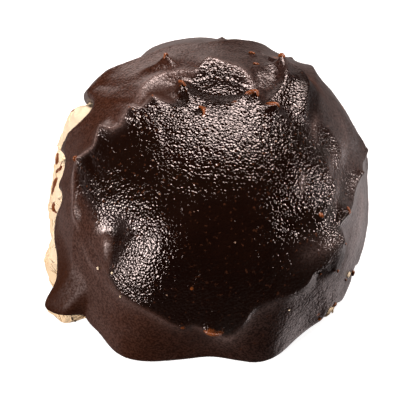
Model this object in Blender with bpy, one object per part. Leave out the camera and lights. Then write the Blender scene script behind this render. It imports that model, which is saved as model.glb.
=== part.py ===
"""A coconut macaroon in a dark chocolate coat, as two solids: the macaroon and the coat poured over it.

The frame is +Z up with the origin at the middle of the flat foot. The photographed side faces -Y.
Shapes are worked out in millimetres on a smooth dome, where a place is an azimuth, counted in degrees
from +X towards +Y, and a tilt, counted in degrees from the top down to the foot at 90.
"""

import bmesh
import bpy
import numpy as np

MILLIMETRE = 0.001

# Where the origin is, on the smooth dome's floor, to be under the middle of the finished outline
MIDDLE = (0.07, -0.02, 0.0)

# The smooth macaroon without its coat
HALF_WIDTH = 25.3
HALF_DEPTH = 26.7
HEIGHT = 26.4
SQUARENESS = 2.3
FOOT_FLARE = 0.9
FLARE_HEIGHT = 2.2
FOOT_TUCK = 0.5
TUCK_HEIGHT = 0.35

# Swellings of the outline: azimuth, half width in degrees, rise in mm
SHOULDER_LOBES = (
    (38, 30, 1.6),
    (95, 12, 0.4),
    (118, 7, -0.5),
    (136, 7, 1.2),
    (149, 6, 0.9),
    (179, 13, -0.9),
    (330, 14, 0.3),
)
FOOT_LOBES = (
    (179, 13, 1.0),
    (227, 5, 0.8),
    (246, 13, 2.0),
    (272, 8, -0.6),
    (290, 10, 1.1),
    (318, 9, 0.9),
)
CORNER_LOBES = (
    (206, 10, 2.4),
    (218.2, 5.8, 4.9),
)
SHOULDER_TILT = (20, 62)
FOOT_TILT = (60, 88)
CORNER_TILT = (71, 89)

# The coat
COAT_THICKNESS = 1.2
LEAST_THICKNESS = 0.5
GAP = 0.4
LIP_ROUND = 1.3
BEAD_RISE = 0.15
BEAD_WIDTH = 1.4

# The coat's lower edge all round: azimuth and height over the floor
EDGE = (
    (0, 1.8), (6, 3.6), (13, 1.6), (19, 1.0), (25, 3.4), (33, 5.6), (40, 2.6), (46, 1.6), (53, 3.8),
    (64, 4.8), (72, 2.2), (79, 1.2), (87, 3.6), (97, 5.0), (104, 2.8), (110, 1.8), (119, 3.6), (127, 3.2),
    (133, 4.0), (138, 6.0), (142, 8.5), (145.5, 13.5), (149, 17.2), (152, 18.2), (155, 17.9), (158, 16.9),
    (161, 14.8), (163, 12.2), (165, 9.4), (167, 9.6), (169, 11.4),
    (174, 12.6), (178, 11.7), (182, 9.5), (186, 11.0), (189.5, 12.0), (192, 8.2), (194, 6.7), (200, 6.2),
    (204, 5.9), (207, 4.7), (209, 3.4), (211, 2.2), (213.5, 1.5), (216, 1.3), (219.5, 1.5), (221.5, 2.6),
    (222.5, 3.0), (224.5, 1.4), (227, 0.8), (240, 0.6),
    (255, 0.7), (270, 0.9), (285, 0.6), (300, 0.7), (313, 0.9), (316, 2.6), (318.5, 2.4), (321, 0.9),
    (331, 1.2), (333, 3.0), (335, 1.4), (345, 1.0), (353, 1.2),
)
EDGE_LOWEST = 0.5
EDGE_BLUR = (-1.6, -0.8, 0.0, 0.8, 1.6)

# Chocolate that ran down and pooled at the edge: azimuth, height over the floor, radius, rise
POOLS = (
    (240, 2.5, 5.0, 1.1),
    (289, 2.5, 5.0, 0.7),
    (19, 2.6, 2.6, 0.6),
    (46, 3.4, 2.6, 0.7),
    (79, 2.6, 2.6, 0.7),
    (110, 3.2, 2.4, 0.5),
)

# Folds that hang between coconut shreds: points as azimuth, tilt, rise; spread to the left and right
CRESTS = {
    "west_rim": (
        ((183, 47.5, 1.3), (181, 44.6, 0.8), (179, 40.2, 0.8), (174, 38.5, 1.0), (170, 36.2, 1.3),
         (171, 32, 0.6), (168, 28.2, 0.6), (164, 28.2, 0.8), (158, 26, 1.3), (154, 22.2, 0.8),
         (146, 21.2, 0.9), (142, 20.8, 1.2), (141, 17.8, 0.7), (136, 14.5, 0.3)),
        (0.8, 4.5),
    ),
    "left_rim": (
        ((183, 47.5, 1.3), (187, 50.2, 1.0), (192.7, 51.2, 0.9), (198.5, 53.8, 0.8), (203, 56.8, 0.7),
         (208, 58.2, 0.2)),
        (1.4, 1.2),
    ),
    "north_rim": (
        ((157, 25.5, 0.3), (146, 26, 0.6), (138, 27.8, 0.7), (130, 28.5, 0.8), (120, 27.8, 0.7),
         (109, 25.5, 0.6), (98, 23.7, 0.7), (92, 27.2, 0.9), (88, 29, 1.0), (79, 28, 0.8), (68, 27.8, 0.7),
         (59, 26, 0.6), (50, 23.5, 0.2)),
        (1.2, 2.0),
    ),
    "north_outer": (
        ((126, 37, 0.3), (119, 34.2, 0.7), (113, 33.8, 1.1), (110, 29.2, 0.4)),
        (0.9, 1.4),
    ),
    "thorn_root": (
        ((120, 18.5, 0.4), (114, 17.5, 1.4), (113, 13.5, 0.9), (115, 9.5, 0.2)),
        (1.4, 0.8),
    ),
    "middle_rim": (
        ((50, 10.8, 0.2), (50, 14.8, 0.7), (47, 17.8, 1.2), (43, 19.2, 1.5), (34, 18.8, 0.8),
         (27, 19.2, 1.0), (24, 22.8, 1.3), (20, 25, 0.4)),
        (0.9, 2.4),
    ),
    "horn_ridge": (
        ((33, 22.5, 0.3), (36, 27.2, 0.8), (41, 32.6, 1.3), (47, 36.6, 1.8), (51.5, 38.6, 1.7)),
        (0.8, 2.4),
    ),
    "east_rim": (
        ((51, 40, 1.5), (46, 43.0, 1.3), (39, 40.8, 1.2), (31, 37.8, 1.0), (21, 34.8, 0.7), (12, 32, 0.2)),
        (1.0, 2.4),
    ),
    "east_fold": (
        ((13, 39.8, 0.2), (12, 45, 0.5), (4, 50.5, 0.6), (-4, 50, 0.3)),
        (1.6, 2.0),
    ),
    "east_run": (
        ((-2, 44, 0.2), (-10, 45.2, 0.6), (-15, 50.5, 0.6), (-24, 50, 0.4), (-31, 48.2, 0.5),
         (-38, 45, 0.2)),
        (1.5, 1.8),
    ),
    "east_nubs": (
        ((24, 76, 0.2), (14, 73.5, 0.9), (7, 69, 0.5), (0, 64, 1.0), (-8, 62.5, 0.6), (-15, 61.8, 0.8),
         (-21, 58.2, 1.3), (-27, 57, 0.5)),
        (1.2, 1.5),
    ),
    "knob_rim": (
        ((-30, 54.7, 0.2), (-30, 57.5, 0.4), (-30, 60.2, 0.7), (-31.5, 61.6, 0.7), (-34, 63.5, 0.6),
         (-37, 64.8, 0.6), (-40, 66.8, 0.7), (-42, 65.8, 0.6), (-44, 62.3, 0.6), (-48, 61.7, 0.8),
         (-52, 64.2, 1.0), (-57.3, 64.5, 0.9), (-63.3, 63.1, 0.8), (-70, 62.6, 0.7), (-74, 64, 0.7),
         (-78, 68.7, 0.8), (-82, 73, 0.7), (-84.5, 74.5, 0.2)),
        (1.2, 4.5),
    ),
    "front_rim": (
        ((226, 59.5, 0.3), (231, 60.8, 0.8), (237, 62.8, 1.1), (242, 63.5, 1.1),
         (248, 63.5, 1.2), (254, 65, 1.2), (258, 67, 1.3), (262, 68.2, 1.5), (264.5, 67, 1.2),
         (268, 68.2, 1.2), (270.5, 69.4, 1.6), (274, 72.2, 1.3), (275.5, 74.5, 0.3)),
        (5.0, 1.3),
    ),
    "left_roll": (
        ((220, 49, 0.1), (222, 52, 0.35), (225, 56, 0.3), (229, 64, 0.1)),
        (1.6, 1.6),
    ),
    "left_run": (
        ((204, 57.8, 0.2), (210, 66, 0.4), (214, 73, 0.5), (216, 80, 0.2)),
        (1.8, 2.0),
    ),
    "north_west_roll": (
        ((166, 62, 0.3), (152, 55, 0.8), (140, 52, 0.9), (128, 50, 0.7), (112, 47, 0.5), (98, 46, 0.2)),
        (2.4, 1.8),
    ),
    "back_fold": (
        ((92, 44, 0.2), (80, 48, 0.7), (70, 56, 0.7), (66, 66, 0.3)),
        (1.6, 1.6),
    ),
    "back_run": (
        ((40, 52, 0.3), (47, 60, 0.8), (52, 70, 0.7), (50, 80, 0.3)),
        (1.5, 1.5),
    ),
    "back_low": (
        ((118, 58, 0.2), (110, 66, 0.7), (100, 70, 0.8), (88, 68, 0.5), (80, 72, 0.2)),
        (1.5, 1.9),
    ),
}

# Every fold's rise is multiplied by the gain, and its top is rounded off over the round, in mm
CREST_GAIN = 1.25
CREST_ROUND = 0.2

# A fold is drawn in steps of this many mm, with so many mm to a degree of tilt
CREST_STEP = 0.8
TILT_REACH = 0.44

# Where folds meet, the higher one wins, and more sharply with a higher power
CREST_BLEND = 4

# Broad swellings and hollows of the coat: azimuth, tilt, radius, rise
MOUNDS = (
    (248, 36, 6.0, 0.7),
    (245, 56, 5.5, 0.6),
    (20, 8, 8.0, 0.5),
    (322, 59.5, 4.0, 1.8),
    (34, 40, 3.4, 1.4),
    (122, 22, 3.0, -0.9),
    (98, 18, 3.0, -1.1),
    (76, 19, 3.2, -1.2),
    (57, 20, 2.8, -0.9),
    (122, 15, 1.5, -0.7),
    (107, 7.5, 1.2, -0.6),
    (46, 28, 3.0, -0.5),
    (223, 46, 2.2, -0.8),
    (316, 44, 5.0, -0.5),
    (285, 38, 8.0, -0.4),
    (350, 55, 4.0, -0.4),
    (262, 80, 5.0, -0.6),
)

# Shreds that stand out of the coat: azimuth, tilt, rise, half width, lean in X, Y and Z
THORNS = (
    (114, 17.5, 0.9, 0.7, (-0.5, 0.2, 0.1)),
    (97, 6.6, 0.8, 0.6, (-0.2, 0.3, 0.0)),
    (43, 19.2, 0.6, 0.7, (0.2, 0.2, 0.0)),
    (24, 22.4, 0.7, 0.7, (0.3, -0.1, 0.0)),
    (52.5, 39.4, 1.2, 0.8, (-0.8, 0.3, 0.3)),
    (183, 47.5, 0.4, 0.6, (-0.3, 0.0, 0.2)),
    (170, 36.2, 0.4, 0.6, (-0.2, 0.2, 0.0)),
    (158, 26, 0.3, 0.5, (-0.1, 0.2, 0.0)),
    (142, 20.8, 0.3, 0.5, (-0.1, 0.2, 0.0)),
    (113, 33.8, 0.5, 0.6, (0.0, 0.2, 0.2)),
    (-31, 48.2, 0.5, 0.5, (0.1, 0.0, 0.2)),
    (-21, 58.2, 0.6, 0.5, (0.2, 0.1, 0.2)),
    (-31, 61.2, 0.4, 0.6, (0.2, 0.0, 0.0)),
    (-40, 66.8, 0.4, 0.6, (0.2, -0.2, 0.0)),
    (0, 64, 0.6, 0.6, (0.2, 0.0, 0.0)),
    (14, 73.5, 0.4, 0.6, (0.1, 0.1, 0.0)),
    (270.5, 69.4, 0.8, 0.8, (0.0, -0.3, 0.2)),
    (262, 68.2, 0.4, 0.5, (0.0, -0.2, 0.0)),
    (67, 42, 0.5, 0.6, (0.0, 0.2, 0.2)),
    (84, 56, 0.7, 0.7, (0.0, 0.2, 0.2)),
    (58, 66, 0.7, 0.7, (0.1, 0.2, 0.0)),
)

# How steeply a shred falls away from its tip, and how far its tip is rounded, as shares of its half width
THORN_FALL = 1.6
THORN_ROUND = 0.3

# The bare macaroon below the edge: how far it swells past the coat's inside, and its shredded relief
BARE_SWELL = 1.0
BARE_START = 0.2
BARE_RAMP = 1.6
BARE_LOBES = ((157, 8, 0.9),)
BARE_LOBES_RAMP = (0.8, 4.0)
RELIEF = 0.22
RELIEF_OFF_FLOOR = 1.2
SHRED_WAVES = 9
SHRED_PITCH = (1.6, 3.2)
SHRED_BEND = 1.4
SHRED_BEND_PITCH = 2.5
SHRED_FULL = 4

# Chocolate drops on the bare side: azimuth, height over the floor, half length, half width, rise
DROPS = (
    (164, 7.6, 0.9, 0.5, 0.45),
    (170, 5.6, 0.8, 0.45, 0.4),
    (184, 5.4, 1.3, 0.5, 0.5),
    (193, 4.0, 0.9, 0.7, 0.5),
    (155.5, 14.6, 0.9, 0.5, 0.4),
)

# The underside stands on a flat foot with a few corners, and its rim curls a little off the floor
FOOT_CORNERS = 6
FOOT_RADIUS = 22.0
RIM_LIFT = 0.3
RIM_PLAY = 0.01

# The coat's corners crowd towards its edge by this power
EDGE_CROWDING = 1.25

# Each solid starts as a ball whose upper half, above the equator's angle from the top, is its outside
BALL_SUBDIVISIONS = 7
EQUATOR = 89.99

# The share of the ball's faces that is left once the flat ones are thinned out
COAT_KEEP = 0.105
MACAROON_KEEP = 0.04

COAT_COLOUR = (0.022, 0.011, 0.008, 1.0)
COAT_ROUGHNESS = 0.32
MACAROON_COLOUR = (0.72, 0.56, 0.34, 1.0)
MACAROON_ROUGHNESS = 0.75


def ramp(value, start, end):
    """0 up to start, 1 from end on, and smooth between them."""
    share = np.clip((value - start) / (end - start), 0, 1)
    return share * share * (3 - 2 * share)


def lobes(azimuth, rows, power=2):
    """The sum of lobes around the macaroon: bell-shaped, or square-shouldered with a power of 4."""
    total = np.zeros_like(azimuth, dtype=float)
    for centre, width, rise in rows:
        away = (azimuth - centre + 180) % 360 - 180
        total += rise * np.exp(-(np.abs(away / width) ** power))
    return total


def dome(azimuth, tilt):
    """Points and outward normals of the smooth macaroon."""
    azimuth = np.asarray(azimuth, dtype=float)
    around = np.radians(azimuth)
    down = np.radians(np.clip(tilt, 0, 90))
    plan = 1 / np.hypot(np.cos(around) / HALF_WIDTH, np.sin(around) / HALF_DEPTH)
    plan = plan + lobes(azimuth, SHOULDER_LOBES) * ramp(tilt, *SHOULDER_TILT)
    plan = plan + lobes(azimuth, FOOT_LOBES) * ramp(tilt, *FOOT_TILT)
    plan = plan + lobes(azimuth, CORNER_LOBES, 4) * ramp(tilt, *CORNER_TILT)
    out = np.sin(down) ** (2 / SQUARENESS)
    up = np.clip(np.cos(down), 0, 1) ** (2 / SQUARENESS)
    height = HEIGHT * up
    reach = plan * out + FOOT_FLARE * np.exp(-height / FLARE_HEIGHT)
    reach = reach - FOOT_TUCK * np.exp(-height / TUCK_HEIGHT)
    points = np.stack([reach * np.cos(around), reach * np.sin(around), height], axis=-1)
    sideways = out ** (SQUARENESS - 1) / plan
    upward = up ** (SQUARENESS - 1) / HEIGHT
    normals = np.stack([sideways * np.cos(around), sideways * np.sin(around), upward], axis=-1)
    return points, normals / np.linalg.norm(normals, axis=-1, keepdims=True)


def tilt_at(height):
    """The tilt at which the dome has this height."""
    share = np.clip(height / HEIGHT, 0, 1)
    return np.degrees(np.arccos(share ** (SQUARENESS / 2)))


def edge_height(azimuth):
    """Height over the floor of the coat's lower edge."""
    places, heights = zip(*EDGE)
    near = [np.interp(azimuth + shift, places, heights, period=360) for shift in EDGE_BLUR]
    return np.maximum(np.mean(near, axis=0), EDGE_LOWEST)


def above_edge(azimuth, height):
    """Distance from the coat's lower edge, across it, positive on the coat's side."""
    step = 0.5
    rise = (edge_height(azimuth + step) - edge_height(azimuth - step)) / (2 * np.radians(step))
    slant = np.hypot(1, rise / HALF_WIDTH)
    return (height - edge_height(azimuth)) / slant


def crest_line(points):
    """Points of a smooth crest on the dome, a short step apart, with the rise at each."""
    azimuth, tilt, rise = np.array(points, dtype=float).T
    flat = np.stack([tilt * np.cos(np.radians(azimuth)), tilt * np.sin(np.radians(azimuth)), rise], axis=-1)
    padded = np.vstack([2 * flat[0] - flat[1], flat, 2 * flat[-1] - flat[-2]])
    line = []
    for before, start, end, after in zip(padded, padded[1:], padded[2:], padded[3:]):
        reach = np.hypot(*(end - start)[:2]) * TILT_REACH
        for share in np.arange(0, 1, CREST_STEP / max(reach, CREST_STEP)):
            bend = 2 * start + (end - before) * share
            bend += (2 * before - 5 * start + 4 * end - after) * share**2
            bend += (3 * start - before - 3 * end + after) * share**3
            line.append(bend / 2)
    line = np.array(line + [flat[-1]])
    places, _ = dome(np.degrees(np.arctan2(line[:, 1], line[:, 0])), np.hypot(line[:, 0], line[:, 1]))
    return places, np.maximum(line[:, 2], 0)


def crest_rise(points, normals, crests):
    """How far the crests lift the coat at these points of the dome."""
    total = np.zeros(len(points))
    for line, (spread_left, spread_right) in crests.values():
        places, rises = crest_line(line)
        nearest = np.full(len(points), np.inf)
        rise = np.zeros(len(points))
        spread = np.full(len(points), spread_left)
        for start, end, rise_start, rise_end in zip(places, places[1:], rises, rises[1:]):
            along = end - start
            share = np.clip((points - start) @ along / (along @ along), 0, 1)
            away = points - start - share[:, None] * along
            distance = np.linalg.norm(away, axis=1)
            closer = distance < nearest
            nearest = np.where(closer, distance, nearest)
            rise = np.where(closer, rise_start + (rise_end - rise_start) * share, rise)
            left = (np.cross(along, away) * normals).sum(axis=1) > 0
            spread = np.where(closer, np.where(left, spread_left, spread_right), spread)
        fall = np.hypot(nearest, CREST_ROUND) - CREST_ROUND
        total += (rise * np.exp(-fall / spread)) ** CREST_BLEND
    return CREST_GAIN * total ** (1 / CREST_BLEND)


def bell(points, centre, radius):
    """A bell-shaped weight around a point."""
    return np.exp(-(np.linalg.norm(points - centre, axis=-1) / radius) ** 2)


def coat_outside(azimuth, tilt):
    """Points of the coat's outer face."""
    points, normals = dome(azimuth, tilt)
    thickness = COAT_THICKNESS + crest_rise(points, normals, CRESTS)
    for centre, down, radius, rise in MOUNDS:
        thickness += rise * bell(points, dome(centre, down)[0], radius)
    for centre, height, radius, rise in POOLS:
        thickness += rise * bell(points, dome(centre, tilt_at(height))[0], radius)
    inside_edge = np.maximum(above_edge(azimuth, points[:, 2]), 0)
    thickness += BEAD_RISE * np.exp(-(((inside_edge - LIP_ROUND) / BEAD_WIDTH) ** 2))
    share = np.clip(inside_edge / LIP_ROUND, 0, 1)
    thickness = np.maximum(thickness, LEAST_THICKNESS) * np.sqrt(1 - (1 - share) ** 2)
    lean = np.zeros_like(points)
    for centre, down, rise, width, towards in THORNS:
        away = np.linalg.norm(points - dome(centre, down)[0], axis=-1) / width
        weight = np.exp(-np.hypot(away, THORN_ROUND) * THORN_FALL)
        thickness += rise * weight
        lean += weight[:, None] ** 2 * np.array(towards)
    return points + normals * (GAP + thickness)[:, None] + lean


def shredded(points):
    """Low relief of baked coconut shreds, from -1 to 1: short ridges that cross each other."""
    rng = np.random.default_rng(7)
    total = np.zeros(len(points))
    for _ in range(SHRED_WAVES):
        along = rng.normal(size=3)
        along /= np.linalg.norm(along)
        phase = rng.uniform(0, 2 * np.pi)
        pitch = rng.uniform(*SHRED_PITCH)
        bend = SHRED_BEND * np.sin(points @ rng.normal(size=3) / SHRED_BEND_PITCH)
        total += np.sin((points @ along) * 2 * np.pi / pitch + bend + phase)
    return np.clip(total / SHRED_FULL, -1, 1)


def macaroon_outside(azimuth, tilt):
    """Points of the macaroon: smooth under the coat, swollen and shredded where it is bare."""
    points, normals = dome(azimuth, tilt)
    below = np.maximum(-above_edge(azimuth, points[:, 2]), 0)
    bare = ramp(below, BARE_START, BARE_RAMP)
    off_floor = ramp(points[:, 2], 0.0, RELIEF_OFF_FLOOR)
    swell = BARE_SWELL + lobes(azimuth, BARE_LOBES) * ramp(below, *BARE_LOBES_RAMP)
    rise = bare * (swell + RELIEF * shredded(points) * off_floor)
    for centre, height, half_length, half_width, drop_rise in DROPS:
        place, _ = dome(centre, tilt_at(height))
        away = (points - place) / np.array([half_width, half_width, half_length])
        rise += drop_rise * np.exp(-(np.linalg.norm(away, axis=-1) ** 4))
    return points + normals * rise[:, None]


def ball_places(ball):
    """Azimuth and angle from the top of each corner of a unit ball, in degrees."""
    corners = np.empty(len(ball.data.vertices) * 3)
    ball.data.vertices.foreach_get("co", corners)
    x, y, z = corners.reshape(-1, 3).T
    return np.degrees(np.arctan2(y, x)) % 360, np.degrees(np.arctan2(np.hypot(x, y), z))


def new_ball(name, collection):
    """A finely divided ball, whose equator is a ring of edges, to be shaped into a node."""
    bpy.ops.mesh.primitive_ico_sphere_add(subdivisions=BALL_SUBDIVISIONS, radius=1)
    ball = bpy.context.object
    ball.name = name
    ball.data.name = name
    for holder in list(ball.users_collection):
        holder.objects.unlink(ball)
    collection.objects.link(ball)
    return ball


def shape_ball(ball, points, keep):
    """Moves the ball's corners to the points, centred over the origin, and thins out its flat faces."""
    ball.data.vertices.foreach_set("co", ((points - MIDDLE) * MILLIMETRE).ravel())
    ball.data.update()
    thin = ball.modifiers.new("thin_flat_faces", "DECIMATE")
    thin.ratio = keep
    thin.use_collapse_triangulate = True


def make_coat(collection):
    """The coat: the ball's upper half is its outside, and its lower half is pushed up to line it."""
    coat = new_ball("chocolate_coat", collection)
    azimuth, angle = ball_places(coat)
    share = np.where(angle <= 90, angle, 180 - angle) / 90
    edge_tilt = tilt_at(edge_height(azimuth))
    tilt = edge_tilt * (1 - (1 - share) ** EDGE_CROWDING)
    inside, normals = dome(azimuth, tilt)
    inside = inside + GAP * normals
    outside = coat_outside(azimuth, tilt)
    points = np.where((angle < EQUATOR)[:, None], outside, inside)
    shape_ball(coat, points, COAT_KEEP)
    return coat


def stand_on_foot(macaroon):
    """Puts a slope down to the flat foot in place of the flat underside at the rim's height."""
    mesh = bmesh.new()
    mesh.from_object(macaroon, bpy.context.evaluated_depsgraph_get())
    macaroon.modifiers.clear()
    level = (RIM_LIFT + RIM_PLAY) * MILLIMETRE
    underside = [face for face in mesh.faces if max(corner.co.z for corner in face.verts) < level]
    bmesh.ops.delete(mesh, geom=underside, context="FACES")
    rim = {corner for edge in mesh.edges if edge.is_boundary for corner in edge.verts}
    rim = sorted(rim, key=lambda corner: np.arctan2(corner.co.y, corner.co.x))
    foot = []
    for around in np.arange(FOOT_CORNERS) * 2 * np.pi / FOOT_CORNERS:
        foot.append(mesh.verts.new((
            FOOT_RADIUS * MILLIMETRE * np.cos(around),
            FOOT_RADIUS * MILLIMETRE * np.sin(around),
            0,
        )))
    mesh.faces.new(foot[::-1])
    for corner, following in zip(rim, rim[1:] + rim[:1]):
        near, next_near = (
            round(np.arctan2(end.co.y, end.co.x) / (2 * np.pi) * FOOT_CORNERS) % FOOT_CORNERS
            for end in (corner, following)
        )
        mesh.faces.new((following, corner, foot[near]))
        if next_near != near:
            mesh.faces.new((following, foot[near], foot[next_near]))
    bmesh.ops.recalc_face_normals(mesh, faces=mesh.faces)
    mesh.to_mesh(macaroon.data)
    mesh.free()


def make_macaroon(collection):
    """The macaroon: the ball's upper half is its dome, and its lower half is flattened under it."""
    macaroon = new_ball("macaroon", collection)
    azimuth, angle = ball_places(macaroon)
    points = macaroon_outside(azimuth, np.minimum(angle, 90))
    inward = np.clip((180 - angle) / 90, 0, 1)
    underside = angle > EQUATOR
    points[underside, :2] *= inward[underside, None]
    points[:, 2] = np.maximum(points[:, 2], RIM_LIFT)
    points[underside, 2] = RIM_LIFT
    shape_ball(macaroon, points, MACAROON_KEEP)
    stand_on_foot(macaroon)
    return macaroon


def plain_material(name, colour, roughness):
    """A Principled material of one colour."""
    material = bpy.data.materials.new(name)
    material.use_nodes = True
    shader = material.node_tree.nodes["Principled BSDF"]
    shader.inputs["Base Color"].default_value = colour
    shader.inputs["Roughness"].default_value = roughness
    shader.inputs["Metallic"].default_value = 0.0
    material.diffuse_color = colour
    return material


def main():
    for old in list(bpy.data.objects):
        bpy.data.objects.remove(old)
    collection = bpy.data.collections.new("chocolate_coconut_macaroon")
    bpy.context.scene.collection.children.link(collection)
    coat = make_coat(collection)
    coat.data.materials.append(plain_material("dark_chocolate", COAT_COLOUR, COAT_ROUGHNESS))
    macaroon = make_macaroon(collection)
    macaroon.data.materials.append(plain_material("baked_coconut", MACAROON_COLOUR, MACAROON_ROUGHNESS))
    for part in (coat, macaroon):
        part.data.shade_smooth()


main()
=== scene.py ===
import bpy
import numpy as np
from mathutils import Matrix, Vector


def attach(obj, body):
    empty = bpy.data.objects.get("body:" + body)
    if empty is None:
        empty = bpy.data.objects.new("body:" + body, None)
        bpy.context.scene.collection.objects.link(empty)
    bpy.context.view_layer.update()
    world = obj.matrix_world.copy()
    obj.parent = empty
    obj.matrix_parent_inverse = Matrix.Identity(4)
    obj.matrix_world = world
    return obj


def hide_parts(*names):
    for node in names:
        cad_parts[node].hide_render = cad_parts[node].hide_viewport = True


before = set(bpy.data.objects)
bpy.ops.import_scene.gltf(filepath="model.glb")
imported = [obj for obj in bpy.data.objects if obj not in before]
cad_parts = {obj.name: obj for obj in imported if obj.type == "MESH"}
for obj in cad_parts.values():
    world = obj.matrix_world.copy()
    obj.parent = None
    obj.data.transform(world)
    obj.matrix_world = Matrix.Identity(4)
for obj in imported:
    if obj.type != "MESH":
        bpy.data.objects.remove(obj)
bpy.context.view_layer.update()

MILLIMETRE = 0.001

# Where the origin is on the smooth dome's floor, within a tenth of a millimetre of the solids' own
MIDDLE = (0.14, 0.0, 0.0)

# The smooth macaroon without its coat
HALF_WIDTH = 25.3
HALF_DEPTH = 26.7
HEIGHT = 26.4
SQUARENESS = 2.3
FOOT_FLARE = 0.9
FLARE_HEIGHT = 2.2
FOOT_TUCK = 0.5
TUCK_HEIGHT = 0.35

# Swellings of the outline: azimuth, half width in degrees, rise in mm
SHOULDER_LOBES = (
    (38, 30, 1.6), (95, 12, 0.4), (118, 7, -0.5), (136, 7, 1.2), (149, 6, 0.9), (179, 13, -0.9),
    (330, 14, 0.3),
)
FOOT_LOBES = (
    (179, 13, 1.0), (227, 5, 0.8), (246, 13, 2.0), (272, 8, -0.6), (290, 10, 1.1), (318, 9, 0.9),
)
CORNER_LOBES = (
    (206, 10, 2.4),
    (218.2, 5.8, 4.9),
)
SHOULDER_TILT = (20, 62)
FOOT_TILT = (60, 88)
CORNER_TILT = (71, 89)

# The coat, in mm: its thickness, the gap inside it, and its rounded and slightly raised lip
COAT_THICKNESS = 1.2
LEAST_THICKNESS = 0.5
GAP = 0.4
LIP_ROUND = 1.3
BEAD_RISE = 0.15
BEAD_WIDTH = 1.4

# The coat's lower edge all round: azimuth and height over the floor
EDGE = (
    (0, 1.8), (6, 3.6), (13, 1.6), (19, 1.0), (25, 3.4), (33, 5.6), (40, 2.6), (46, 1.6), (53, 3.8),
    (64, 4.8), (72, 2.2), (79, 1.2), (87, 3.6), (97, 5.0), (104, 2.8), (110, 1.8), (119, 3.6), (127, 3.2),
    (133, 4.0), (138, 6.0), (142, 8.5), (145.5, 13.5), (149, 17.2), (152, 18.2), (155, 17.9), (158, 16.9),
    (161, 14.8), (163, 12.2), (165, 9.4), (167, 9.6), (169, 11.4),
    (174, 12.6), (178, 11.7), (182, 9.5), (186, 11.0), (189.5, 12.0), (192, 8.2), (194, 6.7), (200, 6.2),
    (204, 5.9), (207, 4.7), (209, 3.4), (211, 2.2), (213.5, 1.5), (216, 1.3), (219.5, 1.5), (221.5, 2.6),
    (222.5, 3.0), (224.5, 1.4), (227, 0.8), (240, 0.6),
    (255, 0.7), (270, 0.9), (285, 0.6), (300, 0.7), (313, 0.9), (316, 2.6), (318.5, 2.4), (321, 0.9),
    (331, 1.2), (333, 3.0), (335, 1.4), (345, 1.0), (353, 1.2),
)
EDGE_LOWEST = 0.5

# The edge is averaged over these shifts, and its slope is taken over this step, all in degrees
EDGE_BLUR = (-1.6, -0.8, 0.0, 0.8, 1.6)
SLOPE_STEP = 0.5

# Chocolate that ran down and pooled at the edge: azimuth, height over the floor, radius, rise
POOLS = (
    (240, 2.5, 5.0, 1.1), (289, 2.5, 5.0, 0.7), (19, 2.6, 2.6, 0.6), (46, 3.4, 2.6, 0.7),
    (79, 2.6, 2.6, 0.7), (110, 3.2, 2.4, 0.5),
)

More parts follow.
